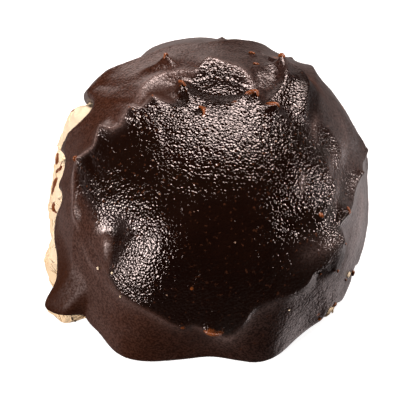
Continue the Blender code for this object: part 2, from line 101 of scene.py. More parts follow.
# Folds that hang between coconut shreds: points as azimuth, tilt, rise; spread to the left and right
CRESTS = {
    "west_rim": (
        ((183, 47.5, 1.3), (181, 44.6, 0.8), (179, 40.2, 0.8), (174, 38.5, 1.0), (170, 36.2, 1.3),
         (171, 32, 0.6), (168, 28.2, 0.6), (164, 28.2, 0.8), (158, 26, 1.3), (154, 22.2, 0.8),
         (146, 21.2, 0.9), (142, 20.8, 1.2), (141, 17.8, 0.7), (136, 14.5, 0.3)),
        (0.8, 4.5),
    ),
    "left_rim": (
        ((183, 47.5, 1.3), (187, 50.2, 1.0), (192.7, 51.2, 0.9), (198.5, 53.8, 0.8), (203, 56.8, 0.7),
         (208, 58.2, 0.2)),
        (1.4, 1.2),
    ),
    "north_rim": (
        ((157, 25.5, 0.3), (146, 26, 0.6), (138, 27.8, 0.7), (130, 28.5, 0.8), (120, 27.8, 0.7),
         (109, 25.5, 0.6), (98, 23.7, 0.7), (92, 27.2, 0.9), (88, 29, 1.0), (79, 28, 0.8),
         (68, 27.8, 0.7), (59, 26, 0.6), (50, 23.5, 0.2)),
        (1.2, 2.0),
    ),
    "north_outer": (((126, 37, 0.3), (119, 34.2, 0.7), (113, 33.8, 1.1), (110, 29.2, 0.4)), (0.9, 1.4)),
    "thorn_root": (((120, 18.5, 0.4), (114, 17.5, 1.4), (113, 13.5, 0.9), (115, 9.5, 0.2)), (1.4, 0.8)),
    "middle_rim": (
        ((50, 10.8, 0.2), (50, 14.8, 0.7), (47, 17.8, 1.2), (43, 19.2, 1.5), (34, 18.8, 0.8),
         (27, 19.2, 1.0), (24, 22.8, 1.3), (20, 25, 0.4)),
        (0.9, 2.4),
    ),
    "horn_ridge": (
        ((33, 22.5, 0.3), (36, 27.2, 0.8), (41, 32.6, 1.3), (47, 36.6, 1.8), (51.5, 38.6, 1.7)),
        (0.8, 2.4),
    ),
    "east_rim": (
        ((51, 40, 1.5), (46, 43.0, 1.3), (39, 40.8, 1.2), (31, 37.8, 1.0), (21, 34.8, 0.7), (12, 32, 0.2)),
        (1.0, 2.4),
    ),
    "east_fold": (((13, 39.8, 0.2), (12, 45, 0.5), (4, 50.5, 0.6), (-4, 50, 0.3)), (1.6, 2.0)),
    "east_run": (
        ((-2, 44, 0.2), (-10, 45.2, 0.6), (-15, 50.5, 0.6), (-24, 50, 0.4), (-31, 48.2, 0.5),
         (-38, 45, 0.2)),
        (1.5, 1.8),
    ),
    "east_nubs": (
        ((24, 76, 0.2), (14, 73.5, 0.9), (7, 69, 0.5), (0, 64, 1.0), (-8, 62.5, 0.6), (-15, 61.8, 0.8),
         (-21, 58.2, 1.3), (-27, 57, 0.5)),
        (1.2, 1.5),
    ),
    "knob_rim": (
        ((-30, 54.7, 0.2), (-30, 57.5, 0.4), (-30, 60.2, 0.7), (-31.5, 61.6, 0.7), (-34, 63.5, 0.6),
         (-37, 64.8, 0.6), (-40, 66.8, 0.7), (-42, 65.8, 0.6), (-44, 62.3, 0.6), (-48, 61.7, 0.8),
         (-52, 64.2, 1.0), (-57.3, 64.5, 0.9), (-63.3, 63.1, 0.8), (-70, 62.6, 0.7), (-74, 64, 0.7),
         (-78, 68.7, 0.8), (-82, 73, 0.7), (-84.5, 74.5, 0.2)),
        (1.2, 4.5),
    ),
    "front_rim": (
        ((226, 59.5, 0.3), (231, 60.8, 0.8), (237, 62.8, 1.1), (242, 63.5, 1.1), (248, 63.5, 1.2),
         (254, 65, 1.2), (258, 67, 1.3), (262, 68.2, 1.5), (264.5, 67, 1.2), (268, 68.2, 1.2),
         (270.5, 69.4, 1.6), (274, 72.2, 1.3), (275.5, 74.5, 0.3)),
        (5.0, 1.3),
    ),
    "left_roll": (((220, 49, 0.1), (222, 52, 0.35), (225, 56, 0.3), (229, 64, 0.1)), (1.6, 1.6)),
    "left_run": (((204, 57.8, 0.2), (210, 66, 0.4), (214, 73, 0.5), (216, 80, 0.2)), (1.8, 2.0)),
    "north_west_roll": (
        ((166, 62, 0.3), (152, 55, 0.8), (140, 52, 0.9), (128, 50, 0.7), (112, 47, 0.5), (98, 46, 0.2)),
        (2.4, 1.8),
    ),
    "back_fold": (((92, 44, 0.2), (80, 48, 0.7), (70, 56, 0.7), (66, 66, 0.3)), (1.6, 1.6)),
    "back_run": (((40, 52, 0.3), (47, 60, 0.8), (52, 70, 0.7), (50, 80, 0.3)), (1.5, 1.5)),
    "back_low": (
        ((118, 58, 0.2), (110, 66, 0.7), (100, 70, 0.8), (88, 68, 0.5), (80, 72, 0.2)),
        (1.5, 1.9),
    ),
}

# Every fold's rise is multiplied by the gain, and its top is rounded off over the round, in mm
CREST_GAIN = 1.25
CREST_ROUND = 0.2

# A fold is drawn in steps of this many mm, with so many mm to a degree of tilt
CREST_STEP = 0.8
TILT_REACH = 0.44

# Where folds meet, the higher one wins, and more sharply with a higher power
CREST_BLEND = 4

# Broad swellings and hollows of the coat: azimuth, tilt, radius, rise
MOUNDS = (
    (248, 36, 6.0, 0.7), (245, 56, 5.5, 0.6), (20, 8, 8.0, 0.5), (322, 59.5, 4.0, 1.8),
    (34, 40, 3.4, 1.4), (122, 22, 3.0, -0.9), (98, 18, 3.0, -1.1), (76, 19, 3.2, -1.2),
    (57, 20, 2.8, -0.9), (122, 15, 1.5, -0.7), (107, 7.5, 1.2, -0.6), (46, 28, 3.0, -0.5),
    (223, 46, 2.2, -0.8), (316, 44, 5.0, -0.5), (285, 38, 8.0, -0.4), (350, 55, 4.0, -0.4),
    (262, 80, 5.0, -0.6),
)

# Shreds that stand out of the coat: azimuth, tilt, rise, half width, lean in X, Y and Z
THORNS = (
    (114, 17.5, 0.9, 0.7, (-0.5, 0.2, 0.1)), (97, 6.6, 0.8, 0.6, (-0.2, 0.3, 0.0)),
    (43, 19.2, 0.6, 0.7, (0.2, 0.2, 0.0)), (24, 22.4, 0.7, 0.7, (0.3, -0.1, 0.0)),
    (52.5, 39.4, 1.2, 0.8, (-0.8, 0.3, 0.3)), (183, 47.5, 0.4, 0.6, (-0.3, 0.0, 0.2)),
    (170, 36.2, 0.4, 0.6, (-0.2, 0.2, 0.0)), (158, 26, 0.3, 0.5, (-0.1, 0.2, 0.0)),
    (142, 20.8, 0.3, 0.5, (-0.1, 0.2, 0.0)), (113, 33.8, 0.5, 0.6, (0.0, 0.2, 0.2)),
    (-31, 48.2, 0.5, 0.5, (0.1, 0.0, 0.2)), (-21, 58.2, 0.6, 0.5, (0.2, 0.1, 0.2)),
    (-31, 61.2, 0.4, 0.6, (0.2, 0.0, 0.0)), (-40, 66.8, 0.4, 0.6, (0.2, -0.2, 0.0)),
    (0, 64, 0.6, 0.6, (0.2, 0.0, 0.0)), (14, 73.5, 0.4, 0.6, (0.1, 0.1, 0.0)),
    (270.5, 69.4, 0.8, 0.8, (0.0, -0.3, 0.2)), (262, 68.2, 0.4, 0.5, (0.0, -0.2, 0.0)),
    (67, 42, 0.5, 0.6, (0.0, 0.2, 0.2)), (84, 56, 0.7, 0.7, (0.0, 0.2, 0.2)),
    (58, 66, 0.7, 0.7, (0.1, 0.2, 0.0)),
)

# How steeply a shred falls away from its tip, and how far its tip is rounded, as shares of its half width
THORN_FALL = 1.6
THORN_ROUND = 0.3

# The bare macaroon below the edge: how far it swells past the coat's inside, and its shredded relief
BARE_SWELL = 1.0
BARE_START = 0.2
BARE_RAMP = 1.6
BARE_LOBES = ((157, 8, 0.9),)
BARE_LOBES_RAMP = (0.8, 4.0)
RELIEF = 0.22
RELIEF_OFF_FLOOR = 1.2
SHRED_WAVES = 9
SHRED_PITCH = (1.6, 3.2)
SHRED_BEND = 1.4
SHRED_BEND_PITCH = 2.5
SHRED_FULL = 4

# Lumps of drops on the bare side, which the runs below lie on or beside: azimuth, height over the
# floor, half length, half width, rise
DROPS = (
    (164, 7.6, 0.9, 0.5, 0.45), (170, 5.6, 0.8, 0.45, 0.4), (184, 5.4, 1.3, 0.5, 0.5),
    (193, 4.0, 0.9, 0.7, 0.5), (155.5, 14.6, 0.9, 0.5, 0.4),
)

# The underside is flat as far out as this radius, and its rim curls a little off the floor
FOOT_RADIUS = 22.0
RIM_LIFT = 0.3

# Rings of corners crowd towards the coat's edge, and towards the macaroon's rim, by these powers
EDGE_CROWDING = 1.25
WALL_CROWDING = 0.9

# Rings of corners on each side of the skins, which are finer than the solids
COAT_RINGS = 150
LINING_RINGS = 36
WALL_RINGS = 96
FOOT_RINGS = 24

# Low waves on the coat between the folds: height and pitch in mm, seed; they fade out at the edge
COAT_LUMPS = (
    (0.03, 3.4, 3),
    (0.015, 1.7, 4),
)
LUMPS_FADE = 0.06
LUMP_WAVES = 7
LUMP_PITCHES = (0.75, 1.35)
LUMP_PHASES = (0, 6.3)

# Every draw of random numbers has its own seed
SHRED_SEED = 7
STRAND_SEED = 11


def ramp(value, start, end):
    """0 up to start, 1 from end on, and smooth between them."""
    share = np.clip((value - start) / (end - start), 0, 1)
    return share * share * (3 - 2 * share)


def lobes(azimuth, rows, power=2):
    """The sum of lobes around the macaroon: bell-shaped, or square-shouldered with a power of 4."""
    total = np.zeros_like(azimuth, dtype=float)
    for centre, width, rise in rows:
        away = (azimuth - centre + 180) % 360 - 180
        total += rise * np.exp(-(np.abs(away / width) ** power))
    return total


def dome(azimuth, tilt):
    """Points and outward normals of the smooth macaroon."""
    azimuth = np.asarray(azimuth, dtype=float)
    around = np.radians(azimuth)
    down = np.radians(np.clip(tilt, 0, 90))
    plan = 1 / np.hypot(np.cos(around) / HALF_WIDTH, np.sin(around) / HALF_DEPTH)
    plan = plan + lobes(azimuth, SHOULDER_LOBES) * ramp(tilt, *SHOULDER_TILT)
    plan = plan + lobes(azimuth, FOOT_LOBES) * ramp(tilt, *FOOT_TILT)
    plan = plan + lobes(azimuth, CORNER_LOBES, 4) * ramp(tilt, *CORNER_TILT)
    out = np.sin(down) ** (2 / SQUARENESS)
    up = np.clip(np.cos(down), 0, 1) ** (2 / SQUARENESS)
    height = HEIGHT * up
    reach = plan * out + FOOT_FLARE * np.exp(-height / FLARE_HEIGHT)
    reach = reach - FOOT_TUCK * np.exp(-height / TUCK_HEIGHT)
    points = np.stack([reach * np.cos(around), reach * np.sin(around), height], axis=-1)
    sideways = out ** (SQUARENESS - 1) / plan
    upward = up ** (SQUARENESS - 1) / HEIGHT
    normals = np.stack([sideways * np.cos(around), sideways * np.sin(around), upward], axis=-1)
    return points, normals / np.linalg.norm(normals, axis=-1, keepdims=True)


def tilt_at(height):
    """The tilt at which the dome has this height."""
    share = np.clip(height / HEIGHT, 0, 1)
    return np.degrees(np.arccos(share ** (SQUARENESS / 2)))


def edge_height(azimuth):
    """Height over the floor of the coat's lower edge."""
    places, heights = zip(*EDGE)
    near = [np.interp(azimuth + shift, places, heights, period=360) for shift in EDGE_BLUR]
    return np.maximum(np.mean(near, axis=0), EDGE_LOWEST)


def above_edge(azimuth, height):
    """Distance from the coat's lower edge, across it, positive on the coat's side."""
    rise = edge_height(azimuth + SLOPE_STEP) - edge_height(azimuth - SLOPE_STEP)
    slant = np.hypot(1, rise / (2 * np.radians(SLOPE_STEP)) / HALF_WIDTH)
    return (height - edge_height(azimuth)) / slant


def crest_line(points):
    """Points of a smooth crest on the dome, a short step apart, with the rise at each."""
    azimuth, tilt, rise = np.array(points, dtype=float).T
    flat = np.stack([tilt * np.cos(np.radians(azimuth)), tilt * np.sin(np.radians(azimuth)), rise], axis=-1)
    padded = np.vstack([2 * flat[0] - flat[1], flat, 2 * flat[-1] - flat[-2]])
    line = []
    for before, start, end, after in zip(padded, padded[1:], padded[2:], padded[3:]):
        reach = np.hypot(*(end - start)[:2]) * TILT_REACH
        for share in np.arange(0, 1, CREST_STEP / max(reach, CREST_STEP)):
            bend = 2 * start + (end - before) * share
            bend += (2 * before - 5 * start + 4 * end - after) * share**2
            bend += (3 * start - before - 3 * end + after) * share**3
            line.append(bend / 2)
    line = np.array(line + [flat[-1]])
    places, _ = dome(np.degrees(np.arctan2(line[:, 1], line[:, 0])), np.hypot(line[:, 0], line[:, 1]))
    return places, np.maximum(line[:, 2], 0)


def crest_rise(points, normals, crests):
    """How far the crests lift the coat at these points of the dome."""
    total = np.zeros(len(points))
    for line, (spread_left, spread_right) in crests.values():
        places, rises = crest_line(line)
        nearest = np.full(len(points), np.inf)
        rise = np.zeros(len(points))
        spread = np.full(len(points), spread_left)
        for start, end, rise_start, rise_end in zip(places, places[1:], rises, rises[1:]):
            along = end - start
            share = np.clip((points - start) @ along / (along @ along), 0, 1)
            away = points - start - share[:, None] * along
            distance = np.linalg.norm(away, axis=1)
            closer = distance < nearest
            nearest = np.where(closer, distance, nearest)
            rise = np.where(closer, rise_start + (rise_end - rise_start) * share, rise)
            left = (np.cross(along, away) * normals).sum(axis=1) > 0
            spread = np.where(closer, np.where(left, spread_left, spread_right), spread)
        fall = np.hypot(nearest, CREST_ROUND) - CREST_ROUND
        total += (rise * np.exp(-fall / spread)) ** CREST_BLEND
    return CREST_GAIN * total ** (1 / CREST_BLEND)


def bell(points, centre, radius):
    """A bell-shaped weight around a point."""
    return np.exp(-(np.linalg.norm(points - centre, axis=-1) / radius) ** 2)


def spots(points, rows):
    """The sum of round spots on the dome, each with its own radius and strength."""
    total = np.zeros(len(points))
    for centre, down, radius, strength in rows:
        total += strength * bell(points, dome(centre, down)[0], radius)
    return total


def coat_outside(azimuth, tilt):
    """Points of the coat's outer face."""
    points, normals = dome(azimuth, tilt)
    thickness = COAT_THICKNESS + crest_rise(points, normals, CRESTS)
    for centre, down, radius, rise in MOUNDS:
        thickness += rise * bell(points, dome(centre, down)[0], radius)
    for centre, height, radius, rise in POOLS:
        thickness += rise * bell(points, dome(centre, tilt_at(height))[0], radius)
    inside_edge = np.maximum(above_edge(azimuth, points[:, 2]), 0)
    thickness += BEAD_RISE * np.exp(-(((inside_edge - LIP_ROUND) / BEAD_WIDTH) ** 2))
    share = np.clip(inside_edge / LIP_ROUND, 0, 1)
    thickness = np.maximum(thickness, LEAST_THICKNESS) * np.sqrt(1 - (1 - share) ** 2)
    lean = np.zeros_like(points)
    for centre, down, rise, width, towards in THORNS:
        away = np.linalg.norm(points - dome(centre, down)[0], axis=-1) / width
        weight = np.exp(-np.hypot(away, THORN_ROUND) * THORN_FALL)
        thickness += rise * weight
        lean += weight[:, None] ** 2 * np.array(towards)
    return points + normals * (GAP + thickness)[:, None] + lean


def shredded(points):
    """Low relief of baked coconut shreds, from -1 to 1: short ridges that cross each other."""
    rng = np.random.default_rng(SHRED_SEED)
    total = np.zeros(len(points))
    for _ in range(SHRED_WAVES):
        along = rng.normal(size=3)
        along /= np.linalg.norm(along)
        phase = rng.uniform(0, 2 * np.pi)
        pitch = rng.uniform(*SHRED_PITCH)
        bend = SHRED_BEND * np.sin(points @ rng.normal(size=3) / SHRED_BEND_PITCH)
        total += np.sin((points @ along) * 2 * np.pi / pitch + bend + phase)
    return np.clip(total / SHRED_FULL, -1, 1)


def macaroon_outside(azimuth, tilt):
    """Points of the macaroon: smooth under the coat, swollen and shredded where it is bare."""
    points, normals = dome(azimuth, tilt)
    below = np.maximum(-above_edge(azimuth, points[:, 2]), 0)
    bare = ramp(below, BARE_START, BARE_RAMP)
    off_floor = ramp(points[:, 2], 0.0, RELIEF_OFF_FLOOR)
    swell = BARE_SWELL + lobes(azimuth, BARE_LOBES) * ramp(below, *BARE_LOBES_RAMP)
    rise = bare * (swell + RELIEF * shredded(points) * off_floor)
    for centre, height, half_length, half_width, drop_rise in DROPS:
        place, _ = dome(centre, tilt_at(height))
        away = (points - place) / np.array([half_width, half_width, half_length])
        rise += drop_rise * np.exp(-(np.linalg.norm(away, axis=-1) ** 4))
    return points + normals * rise[:, None]


def lumps(points, pitch, seed):
    """Smooth irregular waves with about this pitch, from about -1 to 1."""
    rng = np.random.default_rng(seed)
    total = np.zeros(len(points))
    for _ in range(LUMP_WAVES):
        along = rng.normal(size=3)
        along /= np.linalg.norm(along)
        this_pitch = pitch * rng.uniform(*LUMP_PITCHES)
        total += np.sin(points @ along * 2 * np.pi / this_pitch + rng.uniform(*LUMP_PHASES))
    return total / np.sqrt(LUMP_WAVES * 2)


def ring_disc(rings):
    """A disc of rings round one corner, ring k having 6 k corners: azimuth, share of the way, faces."""
    azimuth = [np.zeros(1)]
    share = [np.zeros(1)]
    faces = []
    for k in range(1, rings + 1):
        step = np.arange(6 * k)
        azimuth.append(step * 60.0 / k)
        share.append(np.full(6 * k, k / rings))
        inner, outer = 1 + 3 * (k - 1) * (k - 2), 1 + 3 * k * (k - 1)
        sector, place = step // k, step % k
        here, following = outer + step, outer + (step + 1) % (6 * k)
        if k == 1:
            faces.append(np.stack([here, following, np.zeros(6, int)], axis=-1))
            continue
        low = inner + (sector * (k - 1) + place) % (6 * (k - 1))
        high = inner + (sector * (k - 1) + place + 1) % (6 * (k - 1))
        faces.append(np.stack([here, following, low], axis=-1))
        faces.append(np.stack([low, following, high], axis=-1)[place < k - 1])
    return np.concatenate(azimuth), np.concatenate(share), np.concatenate(faces)


def rim_strip(first, first_count, second, second_count):
    """Faces between two rims that both start at azimuth 0 and run the same way."""
    faces = []
    i = j = 0
    while i < first_count or j < second_count:
        a, b = first + i % first_count, second + j % second_count
        if j >= second_count or (i < first_count and (i + 1) * second_count <= (j + 1) * first_count):
            faces.append((a, b, first + (i + 1) % first_count))
            i += 1
        else:
            faces.append((a, b, second + (j + 1) % second_count))
            j += 1
    return np.array(faces)


def closed_mesh(outer_rings, outer_shape, inner_rings, inner_shape):
    """Points and faces of a closed skin: an outer disc and an inner one, joined along their rims."""
    outer_azimuth, outer_share, outer_faces = ring_disc(outer_rings)
    inner_azimuth, inner_share, inner_faces = ring_disc(inner_rings)
    count = len(outer_azimuth)
    outside, inside = outer_shape(outer_azimuth, outer_share), inner_shape(inner_azimuth, inner_share)
    outer_rim = 1 + 3 * outer_rings * (outer_rings - 1)
    inner_rim = count + 1 + 3 * inner_rings * (inner_rings - 1)
    strip = rim_strip(outer_rim, 6 * outer_rings, inner_rim, 6 * inner_rings)
    faces = np.concatenate([outer_faces, inner_faces[:, ::-1] + count, strip[:, ::-1]])
    return np.concatenate([outside, inside]), faces


def new_piece(name, points, faces, material, attributes=()):
    """A smooth mesh from points in millimetres, with values at its points, riding on the one body."""
    mesh = bpy.data.meshes.new(name)
    mesh.from_pydata(((points - MIDDLE) * MILLIMETRE).tolist(), [], faces.tolist())
    for label, values in attributes:
        mesh.attributes.new(label, "FLOAT", "POINT").data.foreach_set("value", values.astype(np.float32))
    mesh.shade_smooth()
    mesh.materials.append(material)
    piece = bpy.data.objects.new(name, mesh)
    bpy.context.scene.collection.objects.link(piece)
    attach(piece, "root")
    return piece


# Most values of a noise lie between these
NOISE_SPREAD = (0.35, 0.65)


class Nodes:
    """Short names for building a node tree."""

    def __init__(self, tree):
        self.tree = tree
        tree.nodes.clear()

    def add(self, kind, inputs=None, **settings):
        node = self.tree.nodes.new(kind)
        for name, value in settings.items():
            setattr(node, name, value)
        for name, value in (inputs or {}).items():
            if isinstance(value, bpy.types.NodeSocket):
                self.tree.links.new(value, node.inputs[name])
            else:
                node.inputs[name].default_value = value
        return node

    def attribute(self, name):
        return self.add("ShaderNodeAttribute", attribute_name=name).outputs["Fac"]

    def math(self, operation, *values, clamp=False):
        node = self.add("ShaderNodeMath", dict(enumerate(values)), operation=operation, use_clamp=clamp)
        return node.outputs[0]

    def map(self, value, low, high, to_low=0.0, to_high=1.0):
        inputs = {"Value": value, "From Min": low, "From Max": high, "To Min": to_low, "To Max": to_high}
        return self.add("ShaderNodeMapRange", inputs, interpolation_type="SMOOTHSTEP").outputs[0]

    def mix(self, share, low, high):
        node = self.add("ShaderNodeMix", {0: share, 6: low, 7: high}, data_type="RGBA")
        return node.outputs[2]

    def mix_value(self, share, low, high):
        return self.add("ShaderNodeMix", {0: share, 2: low, 3: high}).outputs[0]

    def noise(self, place, scale, detail=2.0, roughness=0.5):
        inputs = {"Vector": place, "Scale": scale, "Detail": detail, "Roughness": roughness}
        return self.add("ShaderNodeTexNoise", inputs).outputs["Fac"]


def new_material(name):
    material = bpy.data.materials.new(name)
    material.use_nodes = True
    return material, Nodes(material.node_tree)


# The chocolate's colours, most of them pairs that a noise mixes
BASIN_BROWNS = ((0.0040, 0.0013, 0.0007, 1), (0.0085, 0.0030, 0.0017, 1))
# The satin flank's browns are painted lighter on the left, where the left window shines on it, and darker
# on the right: painted light and shade
LIT_LEFT_BROWNS = ((0.022, 0.0066, 0.0029, 1), (0.047, 0.0145, 0.0066, 1))
SHADED_RIGHT_BROWNS = ((0.008, 0.0029, 0.0018, 1), (0.026, 0.0098, 0.0064, 1))
TOASTED_BROWNS = ((0.075, 0.019, 0.005, 1), (0.28, 0.082, 0.021, 1))
DULL_BROWN = (0.030, 0.0095, 0.0042, 1)
FLECK_BROWN = (0.075, 0.027, 0.013, 1)
SPECK_CREAM = (0.26, 0.17, 0.12, 1)
# A pale pinkish colour painted on the satin where the pale attribute is: painted sheen and highlight
PAINTED_SHEEN = (0.17, 0.118, 0.105, 1)
GLOSS_TINT = (1.0, 0.88, 0.84, 1.0)

# The satin browns pass from the painted lit left to the painted shaded right between these X, in metres
LIT_TO_SHADED_X = (-0.018, 0.012)

# Scales of the chocolate's noises and cells, per metre
DRIFT_SCALE = 170.0
MOTTLE_SCALE = 260.0
TOASTED_SCALE = 900.0
SPECK_SCALE = 900.0
WARP_SCALE = 1200.0
TOASTED_EDGE_SCALE = 1400.0
FLECK_SCALE = 1500.0
PEBBLE_SCALE = 2300.0
CLOUD_SCALE = 2900.0
FINE_SCALE = 5200.0

# Specks: the cells that have one, its radius in cells, and the share of them that stays on the flank
SPECK_CELLS = (0.955, 0.965)
SPECK_RADII = (0.08, 0.18)
FLANK_SPECKS = 0.1

# How strongly the painted sheen follows the cloud, where flecks begin, and how ragged toasted places are
PAINTED_SHEEN_CLOUD = (0.5, 1.25)
FLECK_VALUES = (0.62, 0.74)
FLECK_STRENGTH = 0.5
TOASTED_RAGGED = 0.3
TOASTED_VALUES = (0.35, 0.85)

# Pebbles: their height and the warp of their cells in metres, and their strength where they are weaker
PEBBLE_HEIGHT = 0.000088
PEBBLE_WARP = (0.0005, 0.0005, 0.0005)
PEBBLE_FINE = 0.2
SMOOTH_PEBBLES = 0.2
FLANK_PEBBLES = 0.6

# Roughness of the basin and the flank, and what the fine noise and dull places add
ROUGHNESS = (0.065, 0.27)
FINE_ROUGHNESS = 0.05
DULL_ROUGHNESS = 0.3

# Gloss: how it drifts on the flank, what the cloud makes of it, and what dull places leave of it
GLOSS_DRIFT = (0.55, 1.2)
GLOSS_CLOUD = (0.26, 0.76)
DULL_GLOSS = 0.12
CHOCOLATE_IOR = 1.55


def chocolate():
    """Chocolate that has set: a pebbled glossy basin, satin flanks, toasted where it is thin; the satin
    flanks carry painted light and shade, lighter left and darker right, and painted sheen along rims and
    streaks.
    """
    material, n = new_material("dark_chocolate")
    place = n.add("ShaderNodeTexCoord").outputs["Object"]
    flank = n.attribute("flank")
    toast = n.attribute("toast")
    smooth = n.attribute("smooth")
    dark = n.mix(n.noise(place, MOTTLE_SCALE, 3.0), *BASIN_BROWNS)
    cloud = n.map(n.noise(place, CLOUD_SCALE), *NOISE_SPREAD)
    # Painted light and shade: the satin is lighter on the left flank and darker on the right
    satin = n.mix(cloud, *LIT_LEFT_BROWNS)
    across = n.map(n.add("ShaderNodeSeparateXYZ", {0: place}).outputs["X"], *LIT_TO_SHADED_X)
    satin = n.mix(across, satin, n.mix(cloud, *SHADED_RIGHT_BROWNS))
    satin = n.mix(n.attribute("dull"), satin, DULL_BROWN)
    colour = n.mix(flank, dark, satin)
    speck = n.add("ShaderNodeTexVoronoi", {"Vector": place, "Scale": SPECK_SCALE})
    drawn = n.add("ShaderNodeSeparateColor", {0: speck.outputs["Color"]}).outputs[0]
    lone = n.map(drawn, *SPECK_CELLS)
    near = n.map(speck.outputs["Distance"], *SPECK_RADII, 1.0, 0.0)
    near = n.math("MULTIPLY", near, n.mix_value(flank, 1.0, FLANK_SPECKS))
    colour = n.mix(n.math("MULTIPLY", lone, near), colour, SPECK_CREAM)
    # Painted sheen and highlight: a pale colour along rims, streaks and the boss's top, from the pale
    # attribute
    painted_sheen = n.math("MULTIPLY", n.attribute("pale"), n.mix_value(cloud, *PAINTED_SHEEN_CLOUD), clamp=True)
    colour = n.mix(painted_sheen, colour, PAINTED_SHEEN)
    fleck = n.map(n.noise(place, FLECK_SCALE), *FLECK_VALUES)
    colour = n.mix(n.math("MULTIPLY", fleck, FLECK_STRENGTH), colour, FLECK_BROWN)
    toasted = n.mix(n.noise(place, TOASTED_SCALE), *TOASTED_BROWNS)
    ragged = n.math("MULTIPLY", n.noise(place, TOASTED_EDGE_SCALE), TOASTED_RAGGED)
    colour = n.mix(n.map(n.math("ADD", toast, ragged), *TOASTED_VALUES), colour, toasted)
    warp = n.add("ShaderNodeTexNoise", {"Vector": place, "Scale": WARP_SCALE, "Detail": 2.0})
    shift = n.add("ShaderNodeVectorMath", {0: warp.outputs["Color"], 1: PEBBLE_WARP}, operation="MULTIPLY")
    warped = n.add("ShaderNodeVectorMath", {0: place, 1: shift.outputs[0]}, operation="ADD").outputs[0]
    cell = n.add("ShaderNodeTexVoronoi", {"Vector": warped, "Scale": PEBBLE_SCALE}).outputs["Distance"]
    rounded = n.math("MULTIPLY", cell, n.math("MULTIPLY", cell, -1.0))
    fine = n.noise(place, FINE_SCALE)
    height = n.math("ADD", rounded, n.math("MULTIPLY", fine, PEBBLE_FINE))
    grain = n.mix_value(smooth, 1.0, SMOOTH_PEBBLES)
    grain = n.math("MULTIPLY", grain, n.mix_value(flank, 1.0, FLANK_PEBBLES))
    pebbles = n.add("ShaderNodeBump", {"Strength": grain, "Distance": PEBBLE_HEIGHT, "Height": height})
    rough = n.math("ADD", n.mix_value(flank, *ROUGHNESS), n.math("MULTIPLY", fine, FINE_ROUGHNESS))
    rough = n.math("ADD", rough, n.math("MULTIPLY", n.attribute("dull"), DULL_ROUGHNESS))
    drift = n.map(n.noise(place, DRIFT_SCALE, 3.0), *NOISE_SPREAD, *GLOSS_DRIFT)
    gloss = n.math("MULTIPLY", n.mix_value(flank, 1.0, drift), n.mix_value(cloud, *GLOSS_CLOUD))
    gloss = n.math("MULTIPLY", gloss, n.mix_value(n.attribute("dull"), 1.0, DULL_GLOSS))
    shader = n.add("ShaderNodeBsdfPrincipled", {
        "Base Color": colour,
        "Roughness": rough,
        "IOR": CHOCOLATE_IOR,
        "Specular IOR Level": gloss,
        "Specular Tint": GLOSS_TINT,
        "Normal": pebbles.outputs[0],
    })
    n.add("ShaderNodeOutputMaterial", {"Surface": shader.outputs[0]})
    return material


# The coconut's colours, as pairs that a noise mixes, and how far up, in metres, and how strongly it tans
CREAMS = ((0.80, 0.65, 0.43, 1), (0.86, 0.74, 0.54, 1))
TANS = ((0.72, 0.50, 0.25, 1), (0.84, 0.64, 0.38, 1))
TAN_REACH = 0.006
TAN_STRENGTH = 0.6

# Fibres that run round the macaroon: scales per metre, depth in metres
COCONUT_MOTTLE_SCALE = 500.0
FIBRE_SCALE = 1100.0
FIBRE_STRETCH = (1.0, 1.0, 2.2)
FIBRE_DEPTH = 0.0003
FIBRE_STRENGTH = 0.6
COCONUT_ROUGHNESS = 0.7


def baked_coconut():
    """Pale cream coconut, a little toasted towards the foot."""
    material, n = new_material("baked_coconut")
    place = n.add("ShaderNodeTexCoord").outputs["Object"]
    low = n.map(n.add("ShaderNodeSeparateXYZ", {0: place}).outputs["Z"], 0.0, TAN_REACH, 1.0, 0.0)
    mottle = n.noise(place, COCONUT_MOTTLE_SCALE, 4.0)
    pale = n.mix(mottle, *CREAMS)
    tan = n.mix(mottle, *TANS)
    colour = n.mix(n.math("MULTIPLY", low, TAN_STRENGTH), pale, tan)
    stretch = n.add("ShaderNodeMapping", {"Vector": place, "Scale": FIBRE_STRETCH})
    fibre = n.noise(stretch.outputs[0], FIBRE_SCALE, 4.0, 0.6)
    bump = n.add("ShaderNodeBump", {"Strength": FIBRE_STRENGTH, "Distance": FIBRE_DEPTH, "Height": fibre})
    shader = n.add("ShaderNodeBsdfPrincipled", {
        "Base Color": colour,
        "Roughness": COCONUT_ROUGHNESS,
        "Normal": bump.outputs[0],
    })
    n.add("ShaderNodeOutputMaterial", {"Surface": shader.outputs[0]})
    return material


